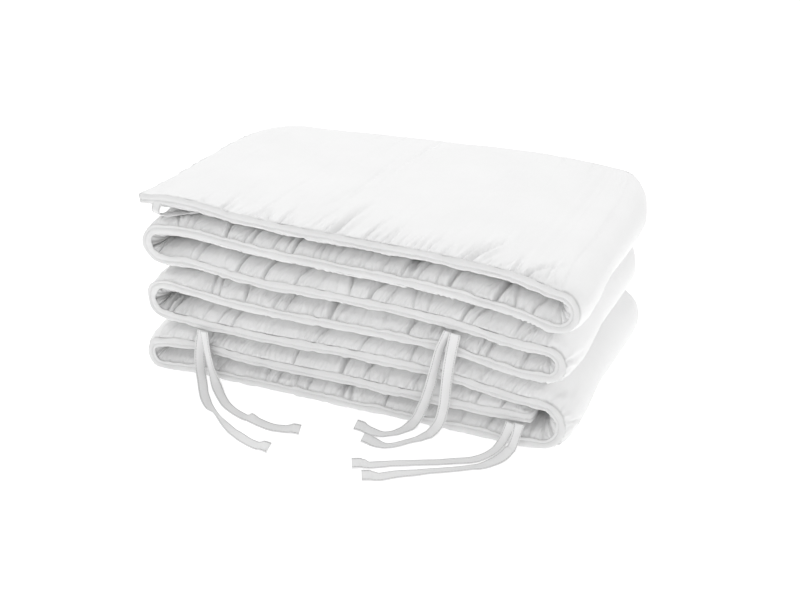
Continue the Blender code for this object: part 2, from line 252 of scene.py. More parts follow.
# The tapes' routes, on the same points as in the part's source, with the root of each tucked under the band
TAPES = {
    "tie_low_a": (
        (72.5, -4.6, 60.2, 0, -8), (76.0, -5.6, 34.0, 0, -22), (81.5, -7.6, 14.0, 6, -24),
        (90.0, -14.5, 3.0, 18, -12), (104.0, -29.0, 0, 40, 0), (121.0, -45.0, 0, 50, 2), (150.0, -59.3, 0, 64, 2),
        (160.0, -62.0, 0, 70, -28), (170.0, -64.4, 0, 76, -12), (190.0, -68.0, 0, 86, -12),
        (203.0, -66.5, 0, 90, -16), (208.0, -66.2, 0, 88, -32), (220.0, -65.5, 0, 82, -34),
    ),
    "tie_low_b": (
        (70.0, -2.6, 60.2, 0, 6), (65.5, -3.4, 36.5, 6, 26), (65.5, -5.6, 12.0, 10, 32), (73.0, -15.0, 3.0, 24, 18),
        (88.0, -36.0, 0, 34, 6), (112.0, -62.0, 0, 46, 18), (126.0, -72.0, 0, 52, 40), (139.0, -81.0, 0, 58, 20),
        (160.0, -93.0, 0, 62, -6), (179.0, -102.0, 0, 70, -10), (191.0, -106.0, 0, 74, -16),
        (196.0, -107.0, 0, 78, -30), (207.0, -108.5, 0, 80, -32),
    ),
    "tie_mid_a": (
        (366.0, -4.8, 117.0, 0, 6), (361.2, -6.0, 86.0, 4, 24), (358.0, -6.2, 56.7, 6, 28),
        (356.0, -7.0, 31.7, 4, 30), (351.0, -11.5, 11.0, -8, 24), (341.0, -22.0, 0, -36, 8),
        (329.0, -37.0, 0, -44, -8), (313.0, -52.0, 0, -62, -4), (306.0, -53.8, 0, -72, 8),
        (300.0, -54.5, 0, -84, 26), (286.0, -52.5, 0, -98, 34),
    ),
    "tie_mid_b": (
        (359.0, -3.0, 116.8, 0, 30), (352.0, -4.4, 102.0, 4, 48), (344.8, -4.6, 72.8, 6, 36),
        (339.0, -3.8, 48.2, 6, 22), (332.0, -4.0, 26.2, 4, 24), (325.0, -7.0, 9.0, -6, 34),
        (316.5, -17.0, 0, -34, 6), (306.0, -30.0, 0, -56, -4), (294.0, -35.5, 0, -84, 10),
        (284.0, -35.0, 0, -94, 20), (279.0, -34.6, 0, -96, 34), (269.0, -33.5, 0, -98, 36),
    ),
    "tie_end_a": (
        (428.0, -4.6, 28.5, 0, 0), (423.5, -6.6, 14.0, -4, -6), (418.0, -14.0, 3.0, -14, -8),
        (412.0, -28.0, 0, -24, 0), (403.0, -41.5, 0, -42, 2), (385.0, -52.5, 0, -60, 2), (361.0, -65.5, 0, -60, -2),
        (327.0, -83.0, 0, -60, 2), (311.0, -93.0, 0, -58, 6), (307.0, -95.2, 0, -60, 26),
        (296.0, -101.0, 0, -62, 26),
    ),
    "tie_end_b": (
        (436.0, -2.6, 28.5, 0, 18), (434.0, -5.6, 15.0, 0, 46), (431.5, -14.5, 3.0, -4, 44),
        (427.5, -31.5, 0, -14, 26), (418.5, -45.0, 0, -38, 8), (400.0, -60.5, 0, -56, -6),
        (367.0, -81.0, 0, -58, -4), (342.0, -98.0, 0, -58, 10), (329.0, -109.0, 0, -58, 12),
        (325.0, -111.4, 0, -62, 26), (314.0, -117.0, 0, -66, 28),
    ),
    "tie_top": (
        (23.0, 1.0, 203.5, 0, 0), (22.6, -0.6, 198.5, 0, 0), (22.2, -2.6, 194.0, 0, -6),
        (23.0, -1.8, 190.4, -8, -6), (27.0, 2.6, 187.6, -22, 0), (34.5, 8.6, 187.2, -36, 0),
        (46.0, 17.0, 188.2, -50, 0), (58.0, 26.0, 189.0, -56, 0),
    ),
}


def linear(code: str) -> tuple[float, float, float, float]:
    """Turn the six hex digits of an sRGB colour into linear red, green and blue, with a full alpha."""
    parts = [int(code[place:place + 2], 16) / 255 for place in (0, 2, 4)]
    return tuple(part / 12.92 if part <= 0.04045 else ((part + 0.055) / 1.055) ** 2.4 for part in parts) + (1.0,)


def add_node(tree: NodeTree, kind: str, inputs: dict | tuple = (), **settings: object) -> Node:
    """Add a node with its settings and its links.

    Args:
        tree: The material's node tree.
        kind: The node's type, without the word that every shader node's type starts with.
        inputs: What each input gets, by its name or number, or from the first input on: a socket or a node's first
            output is linked to it, and a value is set.
        settings: Values of the node's own properties.

    Returns:
        The new node.
    """
    node = tree.nodes.new("ShaderNode" + kind)
    for name, value in settings.items():
        setattr(node, name, value)
    for name, value in inputs.items() if isinstance(inputs, dict) else enumerate(inputs):
        if isinstance(value, Node):
            value = value.outputs[0]
        if isinstance(value, NodeSocket):
            tree.links.new(value, node.inputs[name])
        else:
            node.inputs[name].default_value = value
    return node


def place(x: ndarray, y: ndarray, z: ndarray) -> ndarray:
    """Return points measured from the middle of the underside, and kept out of the floor."""
    return np.stack([x - STACK_LENGTH / 2, y - STRIP_HEIGHT / 2, np.maximum(z, 0.0)], -1)


def to_seam(distance: ndarray) -> ndarray:
    """Return how far places are from the nearer of the strip's two long edges."""
    return np.minimum(distance, STRIP_HEIGHT - distance)


def mound(distance: ndarray, reach: float) -> ndarray:
    """Return a soft mound that is 1 at no distance and falls away with the reach."""
    return np.exp(-((distance / reach) ** 2))


def select_only(piece: Object | None = None) -> None:
    """Deselect everything, and make a piece the one that operators act on, where one is given."""
    bpy.ops.object.select_all(action="DESELECT")
    if piece:
        bpy.context.view_layer.objects.active = piece
        piece.select_set(True)


def every_pair(runs: ndarray, places: ndarray) -> ndarray:
    """Return every run with every place, one pair to a row."""
    return np.stack(np.broadcast_arrays(runs[:, None], places[None, :]), -1).reshape(-1, 2)


def distances_along(points: ndarray) -> ndarray:
    """Return how far along a line each of its points is."""
    return np.concatenate([[0], np.cumsum(np.linalg.norm(np.diff(points, axis=0), axis=1))])


def smooth_path(points: ndarray, turns: ndarray) -> ndarray:
    """Read a smooth curve through points.

    Args:
        points: The points that it passes through.
        turns: Where to read it, as point numbers with their fractions.

    Returns:
        A point for each turn.
    """
    gaps = np.maximum(np.linalg.norm(np.diff(points, axis=0), axis=1), 1e-6)[:, None]
    slopes = np.diff(points, axis=0) / gaps
    inner = (slopes[:-1] * gaps[1:] + slopes[1:] * gaps[:-1]) / (gaps[:-1] + gaps[1:])
    tangents = np.vstack([slopes[:1], inner, slopes[-1:]])
    first = np.clip(np.floor(turns).astype(int), 0, len(points) - 2)
    part = (turns - first)[:, None]
    square, cube = part ** 2, part ** 3
    return (
        (2 * cube - 3 * square + 1) * points[first]
        + (cube - 2 * square + part) * gaps[first] * tangents[first]
        + (3 * square - 2 * cube) * points[first + 1]
        + (cube - square) * gaps[first] * tangents[first + 1]
    )


def waver(distance: ndarray, seed: int, spacing: float) -> ndarray:
    """Return a smooth uneven line between -1 and 1.

    Args:
        distance: Where to read it.
        seed: Which of many such lines.
        spacing: The distance between its knots.

    Returns:
        A value for each distance.
    """
    knots = np.random.default_rng(seed).uniform(-1, 1, int(distance.max() / spacing) + 4)
    at = distance / spacing + 1
    first = np.floor(at).astype(int)
    part = at - first
    part = part * part * (3 - 2 * part)
    return knots[first] * (1 - part) + knots[first + 1] * part


class FoldedPath:
    """The strip's middle surface, which carries a flat place on the strip to its place in the stack."""

    FINE = 16000
    BEND_SMOOTHING = 0.044

    def __init__(self) -> None:
        """Read the three rows finely, with the run along the core as their common measure."""
        self.turns = np.linspace(0, len(self.row_points(Row.CORE)) - 1, self.FINE)
        self.lines = {row: smooth_path(self.row_points(row), self.turns) for row in Row}
        self.run = distances_along(self.lines[Row.CORE])
        self.length = self.run[-1]
        self.tangents = {}
        for row, line in self.lines.items():
            change = np.gradient(line, axis=0)
            self.tangents[row] = change / np.linalg.norm(change, axis=1)[:, None]
        core = self.tangents[Row.CORE]
        turning = np.gradient(core, axis=0) / np.gradient(self.run)[:, None]
        self.curvature = core[:, 0] * turning[:, 1] - core[:, 1] * turning[:, 0]
        spread = np.hanning(round(self.BEND_SMOOTHING / self.length * self.FINE))
        self.bend = np.convolve(self.curvature, spread / spread.sum(), "same")
        self.heading = core[:, 0]

    def read(self, name: str, run: ndarray | float) -> ndarray:
        """Return the path's curvature, its smoothed bend or its heading, at runs along the strip."""
        return np.interp(run, self.run, getattr(self, name))

    def row_points(self, row: Row) -> ndarray:
        """Return the points that a row passes through, as x and z, from the top free end to the inner one."""
        points = [(START.x, getattr(START, row.value))]
        for number, layer in enumerate(LAYERS[:-1]):
            heights = getattr(layer, row.value)
            run = list(zip(LAYER_X, heights))
            to_right = number % 2 == 0
            points += run if to_right else run[::-1]
            fold = FOLDS[number]
            end = -1 if to_right else 0
            ends = (heights[end], getattr(LAYERS[number + 1], row.value)[end])
            middle = [getattr(fold, kind + row.value) for kind in ("reach_", "height_")]
            bend = self.fold_points(*middle, max(ends), min(ends), to_right)
            points += bend if ends[0] > ends[1] else bend[::-1]
        points += list(zip(LAYER_X, getattr(LAYERS[-1], row.value)))[:-1]
        points.append((FINISH.x, getattr(FINISH, row.value)))
        return np.array(points) * MM

    @staticmethod
    def fold_points(fold_x: float, fold_z: float, high: float, low: float, to_right: bool) -> list:
        """Return the round of one fold, from its upper shoulder down to its lower one."""
        radius = FOLD_SHOULDER * (high - low) / 2
        outward = 1 if to_right else -1
        angles = [math.pi * (0.5 - step / FOLD_STEPS) for step in range(FOLD_STEPS + 1)]
        return [(fold_x - outward * radius * (1 - math.cos(a)), fold_z + radius * math.sin(a)) for a in angles]

    def run_on_layer(self, name: str, x: float) -> tuple[float, int]:
        """Find a place on a layer by its x along the front edge.

        Args:
            name: The layer's name.
            x: Its place in millimetres.

        Returns:
            The run along the strip, and 1 where the run grows with x or -1 where it falls.
        """
        number = [layer.name for layer in LAYERS].index(name)
        first = 1 + number * POINTS_A_LAYER
        shoulder = 2.5
        near = (self.turns > first - shoulder) & (self.turns < first + len(LAYER_X) - 1 + shoulder)
        away = np.where(near, abs(self.lines[Row.FRONT][:, 0] - x * MM), np.inf)
        return self.run[int(np.argmin(away))], (1 if number % 2 == 0 else -1)

    def run_on_fold(self, name: str, share: float) -> float:
        """Return the run at a share of the way round a fold."""
        number = [fold.name for fold in FOLDS].index(name)
        shoulder = 1 + number * POINTS_A_LAYER + len(LAYER_X)
        return float(np.interp(shoulder + share * FOLD_STEPS, self.turns, self.run))

    def mix(self, table: dict, run: ndarray, distance: ndarray) -> tuple[ndarray, ndarray]:
        """Mix a table's three rows at places on the strip and return its two columns."""
        front = np.exp(-distance / EDGE_REACH)
        back = np.exp(-(STRIP_HEIGHT - distance) / EDGE_REACH)
        columns = []
        for column in (0, 1):
            read = {row: np.interp(run, self.run, table[row][:, column]) for row in Row}
            core = read[Row.CORE]
            columns.append(core + front * (read[Row.FRONT] - core) + back * (read[Row.BACK] - core))
        return columns[0], columns[1]

    def carry(self, run: ndarray, distance: ndarray, height: ndarray) -> ndarray:
        """Carry flat places to the folded stack.

        Args:
            run: Distances along the strip.
            distance: Distances from its front edge.
            height: Heights off its middle surface, along its normal.

        Returns:
            The points, one to a row.
        """
        along_x, along_z = self.mix(self.tangents, run, distance)
        size = np.hypot(along_x, along_z)
        along_x, along_z = along_x / size, along_z / size
        x, z = self.mix(self.lines, run, distance)
        past = run - np.clip(run, 0, self.length)
        z = z - CORNER_DROOP * mound(np.hypot(run, STRIP_HEIGHT - distance), CORNER_DROOP_REACH)
        return place(x + past * along_x - along_z * height, distance, z + past * along_z + along_x * height)


@dataclass(frozen=True)
class WovenCotton:
    """Plain woven cotton: matt, a little bright at grazing angles, with uneven threads and fine crumples.

    The real threads are about 0.3 mm apart, too fine for the picture, so they are drawn coarser.
    """

    name: str
    light: str
    dark: str
    # Colours of the painted shade: in creases and folds too fine for the mesh, and on the stitch rows
    shaded: str = "B4B4B4"
    shaded_stitch: str = "B4B4B4"
    roughness: float = 0.88
    ior: float = 1.45
    shine: float = 0.25
    sheen: float = 0.12
    sheen_roughness: float = 0.45
    cloud_size: float = 1 / 14
    crumple_size: float = 0.007
    crumple_relief: float = 0.00022
    thread_spacing: float = 0.0012
    thread_relief: float = 0.00004
    stitch_rows: tuple[float, ...] = ()
    stitch_pitch: float = 0.0032
    stitch_gap: float = 0.09
    stitch_half: float = 0.0004
    stitch_relief: float = 0.00025
    stitch_shade: float = 0.5
    gather_relief: float = 0.0
    # Pitch, length and reach inward of the long creases and of the short ones beside the seam
    long_gathers: tuple[float, float, float] = (0.0100, 0.060, 0.026)
    short_gathers: tuple[float, float, float] = (0.0050, 0.022, 0.010)
    full_pitch: float = 0.0075
    sharpness: float = 0.7
    # Width and strength of the painted shade along the middle of each thin crease
    line_spread: float = 0.05
    line_shade: float = 0.14
    # Size of the calm and busy patches, then the noise from which one grows to the other and how creased each is
    patch_size: float = 0.05
    patches: tuple[float, float, float, float] = (0.38, 0.60, 0.25, 1.0)

    def ridges(self, tree: NodeTree, uv_map: str, pitch: float, length: float) -> Node:
        """Draw thin wandering creases.

        Args:
            tree: The material's node tree.
            uv_map: The map whose first direction runs across the creases.
            pitch: Their rough spacing.
            length: Their rough length.

        Returns:
            A node that gives 0 along the creases and rises on either side of them.
        """
        over = add_node(tree, "UVMap", uv_map=uv_map)
        drawn_out = add_node(tree, "Mapping", {"Vector": over, "Scale": (1 / pitch, 1 / length, 1.0)})
        folds = add_node(tree, "TexNoise", {"Vector": drawn_out, "Scale": 1.0, "Detail": 1.0, "Roughness": 0.5})
        centred = add_node(tree, "Math", (folds.outputs["Fac"], 0.5), operation="SUBTRACT")
        return add_node(tree, "Math", (centred,), operation="ABSOLUTE")

    def gathers(self, tree: NodeTree, over: Node) -> tuple[Node, Node]:
        """Draw the thin sharp creases beside both long seams, which are too fine for the mesh, as bumps and as
        painted shade along their middles.

        Args:
            tree: The material's node tree.
            over: The piece's own run and distance.

        Returns:
            The nodes that give their height and their painted shade.
        """
        near_side = add_node(tree, "SeparateXYZ", (over,)).outputs["Y"]
        far_side = add_node(tree, "Math", (STRIP_HEIGHT, near_side), operation="SUBTRACT")
        edge = add_node(tree, "Math", (near_side, far_side), operation="MINIMUM")
        patches = add_node(tree, "TexNoise", {"Vector": over, "Scale": 1 / self.patch_size, "Detail": 0.0})
        busy = add_node(tree, "MapRange", (patches.outputs["Fac"], *self.patches))
        gathered = add_node(tree, "Attribute", attribute_name="gathered").outputs["Fac"]
        strength = add_node(tree, "Math", (busy, gathered), operation="MULTIPLY")
        heights, shades = [], []
        for uv_map, pitch, length, reach in (("leaning", *self.long_gathers), ("cloth", *self.short_gathers)):
            ridge = self.ridges(tree, uv_map, pitch, length)
            inward = add_node(tree, "Math", (edge, -1 / reach), operation="MULTIPLY")
            near = add_node(tree, "Math", (inward,), operation="EXPONENT")
            shown = add_node(tree, "Math", (near, strength), operation="MULTIPLY")
            tall = add_node(tree, "Math", (shown, pitch / self.full_pitch), operation="MULTIPLY")
            sharp = add_node(tree, "Math", (ridge, self.sharpness), operation="POWER")
            heights.append(add_node(tree, "Math", (tall, sharp), operation="MULTIPLY"))
            # Painted shade along the middle of each crease
            line = add_node(tree, "MapRange", (ridge, 0.0, self.line_spread, 1.0, 0.0))
            faint = add_node(tree, "Math", (shown, self.line_shade), operation="MULTIPLY")
            shades.append(add_node(tree, "Math", (faint, line), operation="MULTIPLY"))
        height = add_node(tree, "Math", heights, operation="ADD")
        return height, add_node(tree, "Math", shades, operation="MAXIMUM")

    def thread_height(self, tree: NodeTree, over: Node) -> Node:
        """Return a node that gives the height of a plain weave, from the piece's own run and distance."""
        scale = 1 / (2 * self.thread_spacing * math.pi)
        inputs = {"Vector": over, "Scale": scale, "Distortion": 0.6, "Detail": 1.0}
        threads = [add_node(tree, "TexWave", inputs, bands_direction=way).outputs["Fac"] for way in "XY"]
        return add_node(tree, "Math", threads, operation="MAXIMUM")

    def stitch_height(self, tree: NodeTree, over: Node) -> Node:
        """Return a node that gives 1 on the stitches and 0 elsewhere."""
        parts = add_node(tree, "SeparateXYZ", (over,)).outputs
        beat = add_node(tree, "Math", (parts["X"], self.stitch_pitch / 2), operation="PINGPONG")
        shaded_stitch = add_node(tree, "Math", (beat, self.stitch_pitch * self.stitch_gap), operation="GREATER_THAN")
        rows = [
            add_node(tree, "Math", (parts["Y"], row, self.stitch_half), operation="COMPARE")
            for row in self.stitch_rows
        ]
        while len(rows) > 1:
            rows[:2] = [add_node(tree, "Math", rows[:2], operation="MAXIMUM")]
        return add_node(tree, "Math", (*rows, shaded_stitch), operation="MULTIPLY")

    def material(self) -> Material:
        """Make the material.

        Returns:
            The finished material, named for its cloth.
        """
        material = bpy.data.materials.new(self.name)
        material.use_nodes = True
        tree = material.node_tree
        shader = tree.nodes["Principled BSDF"]
        for name, value in (
            ("Roughness", self.roughness), ("IOR", self.ior), ("Specular IOR Level", self.shine),
            ("Sheen Weight", self.sheen), ("Sheen Roughness", self.sheen_roughness),
        ):
            shader.inputs[name].default_value = value
        at = add_node(tree, "TexCoord").outputs["Object"]
        over = add_node(tree, "UVMap", uv_map="cloth")
        cloud, crumple = (
            add_node(tree, "TexNoise", {"Vector": at, "Scale": 1 / size, "Detail": detail, "Roughness": rough})
            for size, detail, rough in ((self.cloud_size, 3.0, 0.55), (self.crumple_size, 4.0, 0.6))
        )
        tone = add_node(tree, "MapRange", (cloud.outputs["Fac"], 0.3, 0.7))
        tones = {0: tone, 6: linear(self.dark), 7: linear(self.light)}
        colour = add_node(tree, "Mix", tones, data_type="RGBA").outputs[2]
        normal = add_node(tree, "Bump", {"Distance": self.crumple_relief, "Height": crumple.outputs["Fac"]})
        if self.gather_relief:
            height, lines = self.gathers(tree, over)
            normal = add_node(tree, "Bump", {"Distance": self.gather_relief, "Height": height, "Normal": normal})
            # Painted shade: the shade attribute and the thin crease lines mix the colour toward the shaded grey
            deep = add_node(tree, "Attribute", attribute_name="shade").outputs["Fac"]
            shade = add_node(tree, "Math", (deep, lines), operation="MAXIMUM")
            tones = {0: shade, 6: colour, 7: linear(self.shaded)}
            colour = add_node(tree, "Mix", tones, data_type="RGBA").outputs[2]
        threads = self.thread_height(tree, over)
        normal = add_node(tree, "Bump", {"Distance": self.thread_relief, "Height": threads, "Normal": normal})
        if self.stitch_rows:
            sewn = self.stitch_height(tree, over)
            normal = add_node(tree, "Bump", {"Distance": self.stitch_relief, "Height": sewn, "Normal": normal})
            # Painted shade on the stitch rows: the stitches are mixed toward the shaded stitch grey
            dim = add_node(tree, "Math", (sewn, self.stitch_shade), operation="MULTIPLY")
            tones = {0: dim, 6: colour, 7: linear(self.shaded_stitch)}
            colour = add_node(tree, "Mix", tones, data_type="RGBA").outputs[2]
        tree.links.new(colour, shader.inputs["Base Color"])
        tree.links.new(normal.outputs["Normal"], shader.inputs["Normal"])
        return material


def paint(piece: Object, finish: WovenCotton, over: ndarray, leaning: ndarray | None = None) -> None:
    """Give a piece its cloth, with a map of the piece's own run and distance in metres.

    Args:
        piece: The object.
        finish: Its cloth.
        over: The run and distance of each vertex.
        leaning: The same, slanted the way that the creases lean, where the cloth has them.
    """
    corners = np.empty(len(piece.data.loops), np.int32)
    piece.data.loops.foreach_get("vertex_index", corners)
    for name, places in (("cloth", over), ("leaning", leaning)):
        if places is not None:
            layer = piece.data.uv_layers.new(name=name)
            layer.data.foreach_set("uv", places[corners].astype(np.float32).ravel())
    piece.data.materials.clear()
    piece.data.materials.append(finish.material())
    piece.data.shade_smooth()


def vertex_places(mesh: Mesh) -> ndarray:
    """Return a mesh's vertices, one to a row."""
    found = np.empty(len(mesh.vertices) * 3, np.float32)
    mesh.vertices.foreach_get("co", found)
    return found.reshape(-1, 3).astype(float)


def move_vertices(mesh: Mesh, spots: ndarray) -> None:
    """Put a mesh's vertices at new places, one to a row."""
    mesh.vertices.foreach_set("co", spots.astype(np.float32).ravel())
    mesh.update()


def make_tube(name: str, rings: ndarray, closed: bool) -> Object:
    """Make a closed skin over rings of points.

    Args:
        name: The object's name.
        rings: The points, by ring and by place round the ring.
        closed: True where the last ring joins the first, and False where both ends are capped.

    Returns:
        The new object, at the origin.
    """
    count, around = rings.shape[:2]
    numbers = np.arange(count * around).reshape(count, around)
    ahead = np.roll(numbers, -1, axis=0) if closed else numbers[1:]
    here = numbers if closed else numbers[:-1]
    corners = [here, ahead, np.roll(ahead, -1, axis=1), np.roll(here, -1, axis=1)]
    faces = np.stack([corner.ravel() for corner in corners], 1).tolist()
    if not closed:
        faces += [numbers[0].tolist(), numbers[-1][::-1].tolist()]
    mesh = bpy.data.meshes.new(name)
    mesh.from_pydata(rings.reshape(-1, 3).tolist(), [], faces)
    mesh.update()
    tube = bpy.data.objects.new(name, mesh)
    bpy.context.scene.collection.objects.link(tube)
    select_only(tube)
    bpy.ops.object.mode_set(mode="EDIT")
    bpy.ops.mesh.select_all(action="SELECT")
    bpy.ops.mesh.normals_make_consistent(inside=False)
    bpy.ops.object.mode_set(mode="OBJECT")
    return tube


def rounded_corners(run: ndarray, distance: ndarray, length: float, radius: float) -> tuple:
    """Round the strip's four corners.

    Args:
        run: Distances along the strip.
        distance: Distances from its front edge.
        length: The strip's length.
        radius: The corners' radius.

    Returns:
        The runs and distances with each corner drawn onto a quarter round.
    """
    past = np.maximum(radius - run, 0) - np.maximum(run - (length - radius), 0)
    over = np.maximum(radius - distance, 0) - np.maximum(distance - (STRIP_HEIGHT - radius), 0)
    size = np.hypot(past, over)
    share = np.where(size > 0, np.maximum(abs(past), abs(over)) / np.maximum(size, 1e-12), 1.0)
    return run + past * (1 - share), distance + over * (1 - share)


class Gathers(NamedTuple):
    """One size of small random gather along a seam: ranges of spacing, reach, width, depth and lean."""

    spacing: tuple[float, float]
    reach: tuple[float, float]
    width: tuple[float, float]
    depth: tuple[float, float]
    lean: tuple[float, float]


@dataclass
class PaddedStrip:
    """The padded strip: crowned, channelled and gathered flat, then folded into its seven layers."""

    path: FoldedPath
    finish: WovenCotton
    # Stations along the strip, and the rows across it, in millimetres from the front edge and from the back one
    station_step: float = 0.00141
    front_rows: tuple[float, ...] = (0, 2.2, 5, 8.5, 12.5, 17.5, 24, 32, 43, 60, 85, 120)
    back_rows: tuple[float, ...] = (85, 50, 32, 20, 12, 6.5, 2.6, 0)
    corner_radius: float = 0.008
    # How far in from the front, the back and the ends the padding fills out, and from the open top layer's edges
    crown_reach: float = 0.0074
    crown_reach_back: float = 0.0110
    crown_reach_ends: float = 0.0140
    crown_reach_on_top: float = 0.0270
    least_half: float = 0.0022
    # The radius at which a fold is fully stretched, and the crown that its outer side then loses, left and right
    tight_radius: float = 0.018
    tight_outside: tuple[float, float] = (0.85, 0.25)
    # The dip beside the seam: on the flat, more round a fold, and its reach
    seam_dip: float = 0.0003
    seam_dip_fold: float = 0.0020
    seam_dip_reach: float = 0.0012
    # Creases: their share before the cloth gathers and after, and how much wider, longer and deeper than listed
    creased_first: float = 0.5
    creased_after: float = 1.1
    crease_width: float = 0.62
    longer_below: float = 1.9
    deeper: float = 1.6
    crease_lean: float = 0.45
    crease_start: float = 0.0016
    # The ridge beside a crease: its height as a share of the depth, and its place and width in crease widths
    ridge: tuple[float, float, float] = (0.35, 1.9, 0.9)
    # Small gathers: their sizes, how busy they are and how unevenly, over what length, and the least and most
    gathers: tuple[Gathers, ...] = (
        Gathers((0.0035, 0.0110), (0.005, 0.014), (0.0017, 0.0028), (0.0006, 0.0020), (-0.2, 0.4)),
        Gathers((0.0120, 0.0360), (0.022, 0.060), (0.0018, 0.0032), (0.0010, 0.0030), (0.05, 0.42)),
    )
    gather_seed: int = 11
    gather_window: float = 0.04
    busy: tuple[float, float, float] = (0.55, 0.9, 0.045)
    busy_range: tuple[float, float] = (0.08, 1.3)
    # The top layer is calmer: by how much in front and at its back edge, over what reach, and up to what run
    calmer_top: float = 0.15
    calmer_back: float = 0.85
    calm_reach: float = 0.06
    calm_until: float = 0.60
    open_fade: float = 0.05
    smoother_top: float = 0.6
    smoother_outside: float = 0.92
    # Spare cloth at the seam and inside the folds, for the cloth simulation
    fabric_spare: float = 0.040
    spare_at_seam: tuple[float, float] = (0.62, 0.38)
    spare_in_fold: float = 0.8
    spare_radius: float = 0.016
    gather_reach: float = 0.026
    fold_reach: float = 0.060
    held_past: float = 0.100
    frames: int = 20
    most_move: float = 0.007
    # Room between the layers, more at the edge, and how softly the padding is squeezed into it
    layer_room: float = 0.0146
    layer_room_edge: float = 0.0026
    squeeze: float = 0.002
    drawn_reach: float = 0.02
    edge_waver: float = 0.0004
    # Painted shade in the deepest folds and over what run, at the seams round the folds, and in the creases
    deep_fold_shade: tuple[tuple[str, float], ...] = (
        ("upper_left", 0.42), ("middle_left", 0.62), ("lower_left", 0.30),
    )
    deep_fold_shade_reach: float = 0.050
    fold_shade: tuple[float, float, float] = (0.15, 0.5, 0.0045)
    seam_shade: float = 0.9
    seam_shade_behind: float = 0.4
    crease_shade: float = 0.35
    crease_shade_depth: float = 0.004

    def build(self) -> Object:
        """Model the strip flat, gather its cloth, fold it and dress it.

        Returns:
            The finished piece, which stands for the plain padded solid.
        """
        front, back = np.array(self.front_rows) * MM, STRIP_HEIGHT - np.array(self.back_rows) * MM
        self.across = np.concatenate([front, back])
        cells = round(self.path.length / self.station_step)
        self.along = np.linspace(0, self.path.length, cells + 1)
        self.piece = self.flat_slab(cells)
        self.lay_flat()
        self.gather()
        self.fold()
        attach(self.piece, "root")
        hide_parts("pad")
        return self.piece

    def flat_slab(self, cells: int) -> Object:
        """Add a grid at the strip's number of stations and rows, and thicken it to a closed slab."""
        select_only()
        bpy.ops.mesh.primitive_grid_add(x_subdivisions=cells, y_subdivisions=len(self.across) - 1, size=1.0)
        slab = bpy.context.object
        slab.name = slab.data.name = "padded_strip"
        shell = slab.modifiers.new("shell", "SOLIDIFY")
        shell.thickness = 0.01
        shell.offset = -1.0
        bpy.ops.object.modifier_apply(modifier=shell.name)
        spots = vertex_places(slab.data)
        self.station = np.rint((spots[:, 0] + 0.5) * cells).astype(int)
        self.line = np.rint((spots[:, 1] + 0.5) * (len(self.across) - 1)).astype(int)
        self.side = np.where(spots[:, 2] > -shell.thickness / 2, int(Side.OUTER), int(Side.INNER))
        return slab

    def lay_flat(self) -> None:
        """Give the slab its true flat size, its crown, its channels and its creases."""
        self.run, self.distance = self.along[self.station], self.across[self.line]
        self.flat_run, self.flat_distance = self.run, self.distance
        self.creases = self.crease_depth()
        half = self.crowned_half() - self.channel_depth() - self.creased_first * self.creases
        self.half = np.maximum(half, self.least_half)
        move_vertices(self.piece.data, np.stack([self.run, self.distance, self.half * self.side], -1))

    def filled(self) -> ndarray:
        """Return how full the padding is at each corner, from 0 at the seam to 1."""
        open_air = self.open_air()
        fill = np.ones(len(self.run))
        for away, reach, opens in (
            (self.distance, self.crown_reach, 1), (STRIP_HEIGHT - self.distance, self.crown_reach_back, 0),
            (self.run, self.crown_reach_ends, 1), (self.path.length - self.run, self.crown_reach_ends, 1),
        ):
            fill *= 1 - np.exp(-away / (reach + (self.crown_reach_on_top - reach) * open_air * opens))
        left = np.interp(self.run, self.path.run, self.path.lines[Row.CORE][:, 0]) < STACK_LENGTH / 2
        return fill * (1 - np.where(left, *self.tight_outside) * self.outside())

    def outside(self) -> ndarray:
        """Return 1 where a corner lies on the stretched outer side of a fold, and 0 on the flat layers."""
        return np.clip(-self.path.read("bend", self.run) * self.side * self.tight_radius, 0, 1)

    def crowned_half(self) -> ndarray:
        """Return half the padding's thickness at each corner, before any sewing."""
        dip = self.seam_dip + self.seam_dip_fold * self.outside()
        dip = dip * np.exp(-to_seam(self.distance) / self.seam_dip_reach)
        return EDGE_HALF + (CORE_HALF - EDGE_HALF) * self.filled() - dip

    def channel_depth(self) -> ndarray:
        """Return how deep the stitched channels sink each corner."""
        depth = np.zeros(len(self.run))
        for channel in CHANNELS:
            run, direction = self.path.run_on_layer(channel.layer, channel.x)
            middle = run + direction * channel.drift * MM * self.distance / STRIP_HEIGHT
            sunk = channel.depth * MM * mound(self.run - middle, channel.half_width * MM)
            depth += np.where(np.isin(self.side, channel.sides), sunk, 0) * self.filled() ** 0.5
        return depth

    def trough(
        self, run: float, drift: float, reach: float, width: float, inward: ndarray, at: ndarray | None = None
    ) -> ndarray:
        """Return the shape of one crease, 1 along its middle.

        Args:
            run: Where it meets the seam.
            drift: How far its inner end lies along the strip from there.
            reach: How far in it goes.
            width: Half the width of the trough.
            inward: Each corner's distance from the seam.
            at: Each corner's run, where they are not all of the strip's corners.

        Returns:
            The share of its depth at each corner, with a soft ridge on either side.
        """
        share = inward / reach
        middle = run + drift * share ** 1.3
        spread = self.crease_width * width * (0.75 + 0.4 * np.minimum(share, 1))
        away = abs(((self.run if at is None else at) - middle) / spread)
        fade = np.clip(1 - share, 0, 1) ** 0.7 * (1 - np.exp(-inward / self.crease_start))
        height, place_of_ridge, width_of_ridge = self.ridge
        return (np.exp(-away ** 1.4) - height * mound(away - place_of_ridge, width_of_ridge)) * fade

